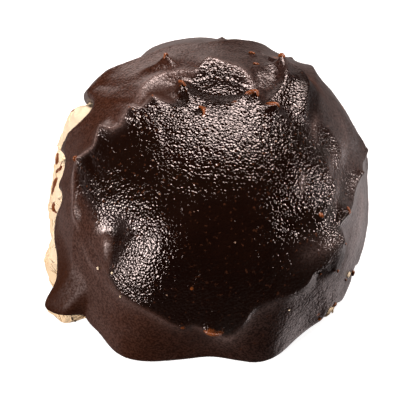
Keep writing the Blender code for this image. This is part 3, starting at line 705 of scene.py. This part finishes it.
# The glossy top that the folds enclose: azimuth and tilt round its edge
BASIN = (
    (182, 47), (181, 44.4), (179, 40.2), (174, 38.5), (170, 36), (172, 32), (168, 28.5), (164, 28.2),
    (158, 26), (154, 22.2), (146, 21.2), (142, 20.5), (141, 17.8), (136, 14.5), (124, 15.5),
    (115, 18.5), (104, 20.5), (98, 23), (92, 27.2), (88, 29), (79, 28), (68, 27.8), (59, 26),
    (50, 23.5), (44, 20), (34, 20), (30, 22), (36, 28), (41, 33.5), (46, 38), (49, 41), (46, 44),
    (40, 46), (34, 47.5), (27, 47.5), (20, 46.5), (12, 46), (4, 51), (-4, 58), (-11, 62), (-18, 60.5),
    (-22, 59.5), (-26, 59), (-29.5, 60.5), (-29, 63.5), (-28.5, 66.8), (-29.5, 70.8), (-32, 73),
    (-35.5, 74), (-38, 74), (-40, 71), (-42, 68), (-45.5, 65), (-49.5, 62.6), (-52, 63.5), (-54, 64.5),
    (-57.3, 64.5), (-63.3, 63.1), (-70, 62.6), (-74, 64), (-78, 68.7), (-82, 73), (-85, 74.5),
    (-87, 72), (-89.5, 69.2), (-92, 68.2), (-96, 67), (-98, 68.2), (-102, 67), (-106, 65),
    (-112, 63.5), (-118, 63.5), (-123, 62.8), (-129, 60.8), (-131, 56), (-133, 52.5), (-136, 49.5),
    (-142, 48.6), (-150, 49.6), (-158, 50.4), (-165, 50.6), (-172, 49),
)

# Degrees over which the gloss gives way at its edge, and where it does so more softly: azimuth, half
# width, more degrees
BASIN_BLUR = 1.2
SIDE_BLURS = ((8, 22, 9.0), (208, 14, 3.0))

# Where the flank has weaker pebbles: azimuth, half width, share
SMOOTH_LOBES = ((232, 72, 1.0),)


def along(crest, first, strengths):
    """A stretch of a fold's points, with these strengths in place of its rises."""
    points = CRESTS[crest][0][first:]
    return tuple((azimuth, tilt, strength) for (azimuth, tilt, _), strength in zip(points, strengths))


# Painted sheen and highlight: where the satin skin is painted paler along thin rims, soft streaks and the
# boss's top, in place of the gloss's reflection there: points as azimuth, tilt, strength; spread to the
# left and right
PAINTED_SHEEN_LINES = {
    "west": (along("west_rim", 0, (0.8, 0.9, 0.9, 0.9, 0.8)), (0.5, 0.15)),
    "saddle": (((170, 36, 0.4), (171, 32.4, 0.6), (168, 28.8, 0.6), (164, 28.2, 0.8)), (0.8, 0.4)),
    "north_west": (along("west_rim", 7, (0.8, 0.7, 0.5, 0.5, 0.6, 0.5, 0.2)), (0.4, 0.15)),
    "left": (
        ((183, 48.0, 0.9), (187, 51.6, 1.1), (192.7, 53.2, 1.1), (198.5, 55.6, 1.1), (203, 58.0, 1.0),
         (208, 59.2, 0.3)),
        (0.22, 0.3),
    ),
    "left_roll": (((220.5, 50.5, 0.1), (222, 52, 0.45), (224, 54, 0.1)), (0.3, 0.4)),
    "north": (along("north_rim", 0, (0.3, 0.6, 0.7, 0.7, 0.7, 0.5, 0.3)), (0.5, 0.4)),
    "north_right": (along("north_rim", 7, (0.3, 0.6, 0.5, 0.5, 0.6, 0.3)), (0.3, 0.5)),
    "horn": (((52, 42, 0.3), (48, 43, 0.6), (44, 47, 0.5), (40, 50, 0.2)), (0.4, 0.6)),
    "right_edge": (
        ((26, 56, 0.1), (20, 57, 0.3), (12, 57, 0.3), (6, 54, 0.4), (357, 51.5, 0.4), (352, 48, 0.1)),
        (1.2, 1.2),
    ),
    "right_streak": (((2, 48, 0.2), (354, 47, 0.35), (346, 46.5, 0.2), (342, 47, 0.1)), (0.8, 0.8)),
    "right_thin": (((18, 40, 0.3), (10, 38, 0.4), (2, 38.8, 0.1)), (0.5, 0.4)),
    "right_short": (((341, 35, 0.2), (336, 36, 0.4), (330, 38, 0.1)), (0.4, 0.4)),
    "right_low": (((353, 53, 0.4), (346, 52.2, 0.5), (339, 52, 0.3)), (0.6, 0.6)),
    "front": (
        ((227, 60, 0.1), (236, 64.5, 0.3), (248, 66, 0.3), (258, 69, 0.3), (266, 69, 0.3), (272, 73, 0.4),
         (276, 77.5, 0.6), (281, 73, 0.5), (287, 67, 0.4), (296, 65.5, 0.2)),
        (0.3, 1.0),
    ),
    "left_streak": (((212, 71, 0.1), (217, 72.5, 0.35), (222, 74.5, 0.1)), (0.4, 0.4)),
    "boss_top": (((314, 55, 0.2), (319, 56, 0.3), (324, 58, 0.3), (327, 60, 0.2)), (1.3, 1.3)),
    "right_rim": (
        ((0, 72, 0.1), (355, 73, 0.7), (350, 76, 0.8), (344, 76.5, 0.7), (338, 76, 0.6), (333, 78, 0.3)),
        (2.2, 3.0),
    ),
    "left_streak_inner": (((214, 62.5, 0.2), (220, 64.8, 0.45), (226, 66, 0.2)), (0.4, 0.4)),
}

# The drip is duller than the rest: azimuth, half width, share; and the tilts between which it sets in
DULL_LOBES = ((212, 14, 1.0),)
DULL_TILT = (70, 77)

# More dull places: azimuth, tilt, radius in mm, strength
DULL_PLACES = (
    (326, 69.5, 2.8, 1.0), (320, 65.5, 2.2, 1.0), (226, 46, 1.6, 0.9), (228, 50.5, 1.5, 0.9),
    (229, 55, 1.4, 0.8), (129, 21.2, 2.0, 0.8), (140, 23.3, 1.6, 0.6), (35.5, 46, 2.4, 1.0),
    (43, 47, 2.2, 0.8), (185, 45.5, 1.0, 0.7), (38, 41.5, 1.5, 1.0), (32, 41, 1.8, 1.0),
    (25, 40, 1.8, 1.0), (18, 38.5, 1.6, 0.9),
)

# Toasted coconut that shows at tips and thin places: azimuth, tilt, radius in mm, strength
TOASTED = (
    (113, 18.5, 0.6, 1.1), (96.5, 6.6, 0.4, 1.1), (100, 4.3, 0.35, 0.9), (47, 18.6, 0.8, 0.8),
    (51, 12.5, 0.5, 0.6), (26, 23.6, 0.7, 1.1), (28, 21.2, 0.6, 0.8), (57, 46, 0.8, 1.1),
    (52, 41.5, 0.6, 1.1), (68, 42, 0.5, 0.8), (264, 53.3, 0.3, 0.9), (262, 68.4, 0.4, 1.0),
    (271, 69.6, 0.7, 1.2), (274, 71.4, 0.7, 1.2), (329, 48, 0.35, 1.1), (339, 58.5, 0.35, 1.0),
    (320, 67.5, 0.4, 0.8), (311, 84, 0.4, 0.8), (183, 48, 0.5, 0.8), (197.5, 46, 0.3, 0.5),
    (142, 20.8, 0.35, 0.7), (158, 26, 0.35, 0.5), (113, 34, 0.4, 0.4), (30, 66, 1.3, 0.5),
)


def basin_depth(azimuth, tilt):
    """How far inside the basin's edge a place is, in degrees of tilt, and negative outside it."""
    around, down = np.array(BASIN, dtype=float).T
    ring = down * np.exp(1j * np.radians(around))
    place = tilt * np.exp(1j * np.radians(azimuth))
    nearest = np.full(len(place), np.inf)
    turns = np.zeros(len(place))
    for start, end in zip(ring, np.roll(ring, -1)):
        along = end - start
        share = np.clip(((place - start) * np.conj(along)).real / abs(along) ** 2, 0, 1)
        nearest = np.minimum(nearest, abs(place - start - share * along))
        turns += np.angle((end - place) / (start - place))
    return np.where(np.abs(turns) > np.pi, nearest, -nearest)


def coat_tilt(azimuth, share):
    """The tilt at this share of the way from the top to the coat's edge."""
    return tilt_at(edge_height(azimuth)) * (1 - (1 - share) ** EDGE_CROWDING)


def coat_skin(azimuth, share):
    """Points of the coat's outer face with its low waves."""
    points = coat_outside(azimuth, coat_tilt(azimuth, share))
    _, normals = dome(azimuth, coat_tilt(azimuth, share))
    relief = sum(height * lumps(points, pitch, seed) for height, pitch, seed in COAT_LUMPS)
    return points + normals * (relief * ramp(1 - share, 0.0, LUMPS_FADE))[:, None]


def coat_lining(azimuth, share):
    """Points of the coat's inner face, a gap off the smooth macaroon."""
    points, normals = dome(azimuth, coat_tilt(azimuth, share))
    return points + GAP * normals


def coat_piece(material):
    """The chocolate coat, with where it is satin, smooth, pale (painted sheen), dull and toasted kept at
    its points.
    """
    points, faces = closed_mesh(COAT_RINGS, coat_skin, LINING_RINGS, coat_lining)
    azimuth, share, _ = ring_disc(COAT_RINGS)
    tilt = coat_tilt(azimuth, share)
    base, normals = dome(azimuth, tilt)
    outer = len(base)
    flank = np.ones(len(points))
    toast, dull, pale = np.zeros((3, len(points)))
    blur = BASIN_BLUR + lobes(azimuth, SIDE_BLURS)
    flank[:outer] = 1 - ramp(basin_depth(azimuth, tilt), -blur, blur)
    toast[:outer] = spots(base, TOASTED)
    dull[:outer] = lobes(azimuth, DULL_LOBES) * ramp(tilt, *DULL_TILT) + spots(base, DULL_PLACES)
    dull = np.clip(dull, 0, 1)
    # Where the painted sheen and highlight go, along rims, streaks and the boss's top
    pale[:outer] = crest_rise(base, normals, PAINTED_SHEEN_LINES) / CREST_GAIN
    around = np.degrees(np.arctan2(points[:, 1], points[:, 0])) % 360
    smooth = np.clip(lobes(around, SMOOTH_LOBES), 0, 1) * flank
    attributes = (("flank", flank), ("toast", toast), ("smooth", smooth), ("pale", pale), ("dull", dull))
    piece = new_piece("chocolate_coat_skin", points, faces, material, attributes)
    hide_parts("chocolate_coat")


def macaroon_wall(azimuth, share):
    """Points of the macaroon from its top to its lifted rim."""
    points = macaroon_outside(azimuth, 90 * share**WALL_CROWDING)
    points[:, 2] = np.maximum(points[:, 2], RIM_LIFT)
    return points


def macaroon_foot(azimuth, share):
    """Points of the underside from its middle to the rim."""
    points = macaroon_outside(azimuth, np.full_like(azimuth, 90.0))
    rim = np.hypot(points[:, 0], points[:, 1])
    points[:, :2] *= share[:, None]
    points[:, 2] = RIM_LIFT * np.clip((share * rim - FOOT_RADIUS) / (rim - FOOT_RADIUS), 0, 1)
    return points


def macaroon_piece(material):
    """The baked coconut body."""
    points, faces = closed_mesh(WALL_RINGS, macaroon_wall, FOOT_RINGS, macaroon_foot)
    piece = new_piece("coconut_macaroon", points, faces, material)
    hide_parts("macaroon")


# Toasted shreds that poke through the coat: places along each as azimuth, tilt and height over it;
# radius
TIPS = (
    (((111.5, 16.0, 0.0), (113, 17.8, 0.4), (115.5, 19.2, 0.8), (113.5, 20.2, 0.9)), 0.22),
    (((107, 8.4, 0.0), (99, 7.0, 0.15), (97, 5.6, 0.1), (100, 4.2, 0.0)), 0.26),
    (((50, 16.6, 0.0), (46, 18.6, 0.2), (42, 19.6, 0.2), (37, 19.0, 0.0)), 0.28),
    (((31, 20.6, 0.0), (27.5, 21.6, 0.15), (24, 22.8, 0.1), (22, 24.0, 0.0)), 0.27),
    (((50.5, 39.0, 0.1), (52.5, 39.6, 0.25), (54.5, 40.4, 0.2)), 0.34),
    (((115, 33.0, 0.0), (113, 34.0, 0.3), (111, 34.6, 0.1)), 0.2),
    (((70, 42.0, 0.0), (67.5, 41.4, 0.1), (66, 41.6, 0.0)), 0.22),
    (((64, 34.6, 0.0), (61.5, 35.4, 0.1), (60, 36.0, 0.0)), 0.2),
    (((268.5, 68.6, 0.0), (271, 69.6, 0.1), (274, 71.0, 0.1), (275, 72.0, 0.0)), 0.3),
    (((329.6, 47.8, 0.0), (329.0, 48.6, 0.05), (328.6, 49.4, 0.0)), 0.14),
    (((341.5, 57.4, 0.0), (340, 57.8, 0.15), (338.5, 58.8, 0.05)), 0.2),
    (((323.6, 71.8, 0.05), (322.4, 72.8, 0.05)), 0.22),
    (((315.4, 64.6, 0.05), (314.0, 64.8, 0.05)), 0.16),
    (((332.2, 84.2, 0.1), (331.4, 85.0, 0.15), (330.8, 86.0, 0.05)), 0.28),
    (((326.8, 81.8, 0.05), (326.2, 82.8, 0.05)), 0.16),
    (((318.6, 84.2, 0.1), (317.8, 85.2, 0.15), (316.8, 86.4, 0.1)), 0.34),
    (((311.8, 86.0, 0.05), (310.4, 86.6, 0.05)), 0.22),
    (((331.2, 66.4, 0.05), (331.6, 67.8, 0.05)), 0.2),
    (((182, 46.8, 0.0), (183, 47.6, 0.1), (184.2, 48.2, 0.0)), 0.2),
)

# Runs of chocolate on the bare coconut: places along each as azimuth, tilt and height over it; radius
RUNS = (
    (((164, 76.0, 0.1), (165.5, 77.0, 0.15), (166.5, 78.6, 0.1), (166.5, 80.4, 0.05)), 0.34),
    (((170.5, 70.6, 0.1), (172, 71.0, 0.1), (172.5, 73.0, 0.1), (171.5, 75.4, 0.1), (172.5, 77.0, 0.1)),
     0.26),
    (((176.2, 73.0, 0.1), (176.8, 76.0, 0.2), (177.2, 79.6, 0.2), (178.2, 83.0, 0.05)), 0.44),
    (((179.5, 68.6, 0.2), (181.5, 70.0, 0.3), (183.5, 70.4, 0.1)), 0.42),
    (((185.4, 75.4, 0.1), (185.6, 78.0, 0.2), (187.5, 79.6, 0.1)), 0.42),
    (((187.0, 79.0, 0.05), (189.0, 77.0, 0.1), (190.0, 74.8, 0.05)), 0.2),
    (((147.5, 68.5, 0.1), (149.5, 71.0, 0.15), (151.5, 73.0, 0.1)), 0.3),
)

# Bare coconut that shows through the coat, and crumbs on it: places along each; radius
CRUMBS = (
    (((330.0, 82.2, 0.1), (328.6, 82.2, 0.1), (327.4, 82.4, 0.05)), 0.26),
    (((316.6, 84.4, 0.05), (315.4, 85.4, 0.1), (314.4, 86.4, 0.05)), 0.42),
    (((224.4, 62.6, 0.1), (225.6, 63.6, 0.1)), 0.26),
    (((231.6, 58.4, 0.1), (232.6, 59.0, 0.1)), 0.18),
    (((237.6, 65.4, 0.05), (238.4, 65.8, 0.05)), 0.14),
    (((299.6, 72.2, 0.05), (300.4, 72.6, 0.05)), 0.16),
)

# How toasted the tips and the runs are
TIPS_TOAST = 1.0
RUNS_TOAST = 0.62

# Tubes: how blunt their ends are, how far each point pulls on the path, and a direction none of them has
TUBE_BLUNTNESS = 3
TUBE_PULL = 0.7
TUBE_SIDEWAYS = (0.31, 0.17, 0.93)

# Coconut shreds on the bare side, in mm: how many are tried, their size, and where one fits
STRANDS = 420
STRAND_HALF_LENGTH = (0.8, 2.2)
STRAND_RADIUS = 0.17
STRAND_RINGS = 6
STRAND_SIDES = 6
STRAND_PLACES = (0.06, 0.94)
STRAND_LOWEST = 0.5
STRAND_LEAST_EDGE = 1.4
STRAND_FLATNESS = 0.5
STRAND_LIFT = 0.06
STRAND_OFF_FLOOR = (0.35, 0.3)
STRAND_OFF_EDGE = 0.2


def tubes(paths, radii, sides=8, rings=12):
    """One mesh of tubes with blunt ends, each along the smooth path near its points, in millimetres."""
    all_points = []
    all_faces = []
    share = np.linspace(0, 1, rings)
    width = np.sqrt(np.maximum(1 - np.abs(2 * share - 1) ** TUBE_BLUNTNESS, 0))
    around = np.linspace(0, 2 * np.pi, sides, endpoint=False)
    corner = np.arange((rings - 1) * sides)
    following = corner // sides * sides + (corner + 1) % sides
    start = 0
    for path, radius in zip(paths, radii):
        knots = np.linspace(0, 1, len(path))
        weight = np.exp(-(((share[:, None] - knots) * (len(path) - 1) / TUBE_PULL) ** 2))
        middle = weight @ path / weight.sum(axis=1, keepdims=True)
        along = np.gradient(middle, axis=0)
        along /= np.linalg.norm(along, axis=1, keepdims=True)
        side = np.cross(along, TUBE_SIDEWAYS)
        side /= np.linalg.norm(side, axis=1, keepdims=True)
        other = np.cross(along, side)
        spokes = side[:, None] * np.cos(around)[:, None] + other[:, None] * np.sin(around)[:, None]
        all_points.append((middle[:, None] + radius * width[:, None, None] * spokes).reshape(-1, 3))
        quads = np.stack([corner, following, following + sides, corner + sides], axis=-1)
        all_faces.append(start + quads)
        start += rings * sides
    return np.concatenate(all_points), np.concatenate(all_faces)


def over(surface, places):
    """Points over a surface, from azimuth, tilt and height."""
    azimuth, tilt, height = np.array(places, dtype=float).T
    _, normals = dome(azimuth, tilt)
    return surface(azimuth, tilt) + normals * height[:, None]


def small_piece(name, surface, rows, material, toast=0.0):
    """Shreds, runs or crumbs that lie on a surface."""
    points, faces = tubes([over(surface, places) for places, _ in rows], [radius for _, radius in rows])
    full = np.ones(len(points))
    piece = new_piece(name, points, faces, material, (("flank", full), ("toast", toast * full)))


def strands_piece(material):
    """Shreds that lie on the bare side, bent along it."""
    rng = np.random.default_rng(STRAND_SEED)
    azimuth = rng.uniform(0, 360, STRANDS)
    height = rng.uniform(*STRAND_PLACES, STRANDS) * edge_height(azimuth)
    length = rng.uniform(*STRAND_HALF_LENGTH, STRANDS)
    turn = rng.uniform(0, np.pi, STRANDS)
    keep = (height > STRAND_LOWEST) & (edge_height(azimuth) > STRAND_LEAST_EDGE)
    share = np.linspace(-1, 1, STRAND_RINGS)
    paths = []
    for around, up, reach, heading in zip(azimuth[keep], height[keep], length[keep], turn[keep]):
        sideways = around + np.degrees(reach * np.cos(heading) * share / HALF_WIDTH)
        upwards = np.maximum(up + STRAND_FLATNESS * reach * np.sin(heading) * share, STRAND_OFF_FLOOR[0])
        inside = np.minimum(upwards, edge_height(sideways) - STRAND_OFF_EDGE)
        tilt = tilt_at(np.maximum(inside, STRAND_OFF_FLOOR[1]))
        lift = STRAND_LIFT * (1 - share**2)
        paths.append(over(macaroon_outside, np.stack([sideways, tilt, lift], axis=-1)))
    points, faces = tubes(paths, [STRAND_RADIUS] * len(paths), STRAND_SIDES, STRAND_RINGS)
    piece = new_piece("coconut_strands", points, faces, material)


# The camera looks along +Y and down, from half a metre; the view is as wide as this at its aim
CAMERA_TILT = np.radians(62)
CAMERA_DISTANCE = 0.5
CAMERA_AIM = Vector((0.00003, -0.0056, 0.012))
CAMERA_VIEW = 0.06933
CAMERA_NEAR = 0.01


def look_from(thing, direction, distance, aim):
    """Put a light or the camera at this distance from its aim and turn it there."""
    direction = Vector(direction).normalized()
    thing.location = aim + direction * distance
    thing.rotation_euler = direction.to_track_quat("Z", "Y").to_euler()


def camera():
    """The photograph's view."""
    data = bpy.data.cameras.new("camera")
    data.lens = data.sensor_width * CAMERA_DISTANCE / CAMERA_VIEW
    data.clip_start = CAMERA_NEAR
    thing = bpy.data.objects.new("camera", data)
    bpy.context.scene.collection.objects.link(thing)
    look_from(thing, (0, -np.cos(CAMERA_TILT), np.sin(CAMERA_TILT)), CAMERA_DISTANCE, CAMERA_AIM)
    bpy.context.scene.camera = thing


# Soft lights: name, direction, width and height in metres at 1 m from the origin, radiance, colour
LIGHTS = (
    ("back_window", (0.165, 0.562, 0.810), (0.80, 0.21), 29.0, (1.0, 0.88, 0.85)),
    ("left_window", (-0.758, -0.482, 0.440), (0.34, 0.40), 27.0, (1.0, 0.90, 0.88)),
    ("right_window", (0.961, 0.010, 0.276), (0.17, 0.17), 40.0, (1.0, 0.90, 0.88)),
)

# Glows of the room: azimuth, elevation, the angles at which the glow is full and gone, colour
GLOWS = (
    (90, -62, 10, 32, (0.50, 0.44, 0.43)),
    (88, -14, 10, 36, (0.50, 0.41, 0.38)),
    (106, -12, 6, 22, (1.7, 1.40, 1.32)),
    (183, -26, 18, 44, (0.48, 0.37, 0.35)),
    (32, -4, 20, 42, (0.50, 0.44, 0.43)),
    (350, -46, 8, 18, (2.4, 2.1, 2.1)),
    (22, -50, 9, 24, (1.0, 0.9, 0.9)),
)
ROOM = (0.09, 0.072, 0.066)

# It is dark overhead, where a direction's Z is above these
OVERHEAD = (0.012, 0.010, 0.009)
OVERHEAD_RISE = (0.05, 0.25)

# The table's and the wall's sizes in metres; the wall starts a little under the table
TABLE_SIZE = 12
TABLE_WHITE = (0.5, 0.5, 0.5, 1)
TABLE_ROUGHNESS = 0.9
TABLE_GLOW = 0.9
WALL_RADIUS = 6
WALL_HEIGHT = 8
WALL_MIDDLE = (0, 0, 3.9)
WHITE = (1, 1, 1, 1)


def lights():
    """The soft lights, all turned to the origin."""
    for name, direction, (width, height), radiance, colour in LIGHTS:
        data = bpy.data.lights.new(name, "AREA")
        data.shape = "RECTANGLE"
        data.size = width
        data.size_y = height
        data.energy = radiance * np.pi * width * height
        data.color = colour
        thing = bpy.data.objects.new(name, data)
        bpy.context.scene.collection.objects.link(thing)
        look_from(thing, direction, 1.0, Vector((0, 0, 0)))


def surroundings():
    """What the gloss reflects: dark overhead, with a few soft glows low down."""
    world = bpy.data.worlds.new("room")
    bpy.context.scene.world = world
    world.use_nodes = True
    n = Nodes(world.node_tree)
    place = n.add("ShaderNodeTexCoord").outputs["Generated"]
    colour = (*ROOM, 1)
    for around, up, full, gone, glow in GLOWS:
        around, up = np.radians((around, up))
        towards = (np.cos(up) * np.cos(around), np.cos(up) * np.sin(around), np.sin(up))
        nearness = n.add("ShaderNodeVectorMath", {0: place, 1: towards}, operation="DOT_PRODUCT")
        share = n.map(nearness.outputs["Value"], np.cos(np.radians(gone)), np.cos(np.radians(full)))
        colour = n.mix(share, colour, (*glow, 1))
    height = n.add("ShaderNodeSeparateXYZ", {0: place}).outputs["Z"]
    colour = n.mix(n.map(height, *OVERHEAD_RISE), colour, (*OVERHEAD, 1))
    background = n.add("ShaderNodeBackground", {"Color": colour, "Strength": 1.0})
    n.add("ShaderNodeOutputWorld", {"Surface": background.outputs[0]})


def stage():
    """A white table and a white wall round it, which the chocolate's gloss doesn't pick up."""
    material, n = new_material("white_table")
    shader = n.add("ShaderNodeBsdfPrincipled", {
        "Base Color": TABLE_WHITE,
        "Roughness": TABLE_ROUGHNESS,
        "Emission Color": WHITE,
        "Emission Strength": TABLE_GLOW,
    })
    n.add("ShaderNodeOutputMaterial", {"Surface": shader.outputs[0]})
    glow, n = new_material("white_wall")
    light = n.add("ShaderNodeEmission", {"Color": WHITE, "Strength": 1.0})
    n.add("ShaderNodeOutputMaterial", {"Surface": light.outputs[0]})
    bpy.ops.mesh.primitive_plane_add(size=TABLE_SIZE)
    table = bpy.context.object
    table.name = "table"
    table.data.materials.append(material)
    bpy.ops.mesh.primitive_cylinder_add(radius=WALL_RADIUS, depth=WALL_HEIGHT, end_fill_type="NOTHING",
                                        location=WALL_MIDDLE)
    wall = bpy.context.object
    wall.name = "wall"
    wall.data.materials.append(glow)
    for thing in (table, wall):
        thing.visible_glossy = False
        thing.visible_diffuse = False
        thing.visible_shadow = False


def main():
    """Make every piece, then the camera, the lights and the table."""
    dark = chocolate()
    pale = baked_coconut()
    coat_piece(dark)
    macaroon_piece(pale)
    strands_piece(pale)
    small_piece("toasted_tips", coat_outside, TIPS, dark, TIPS_TOAST)
    small_piece("chocolate_runs", macaroon_outside, RUNS, dark, RUNS_TOAST)
    small_piece("coconut_crumbs", coat_outside, CRUMBS, pale)
    camera()
    lights()
    surroundings()
    stage()
    bpy.context.scene.view_settings.view_transform = "Standard"


main()
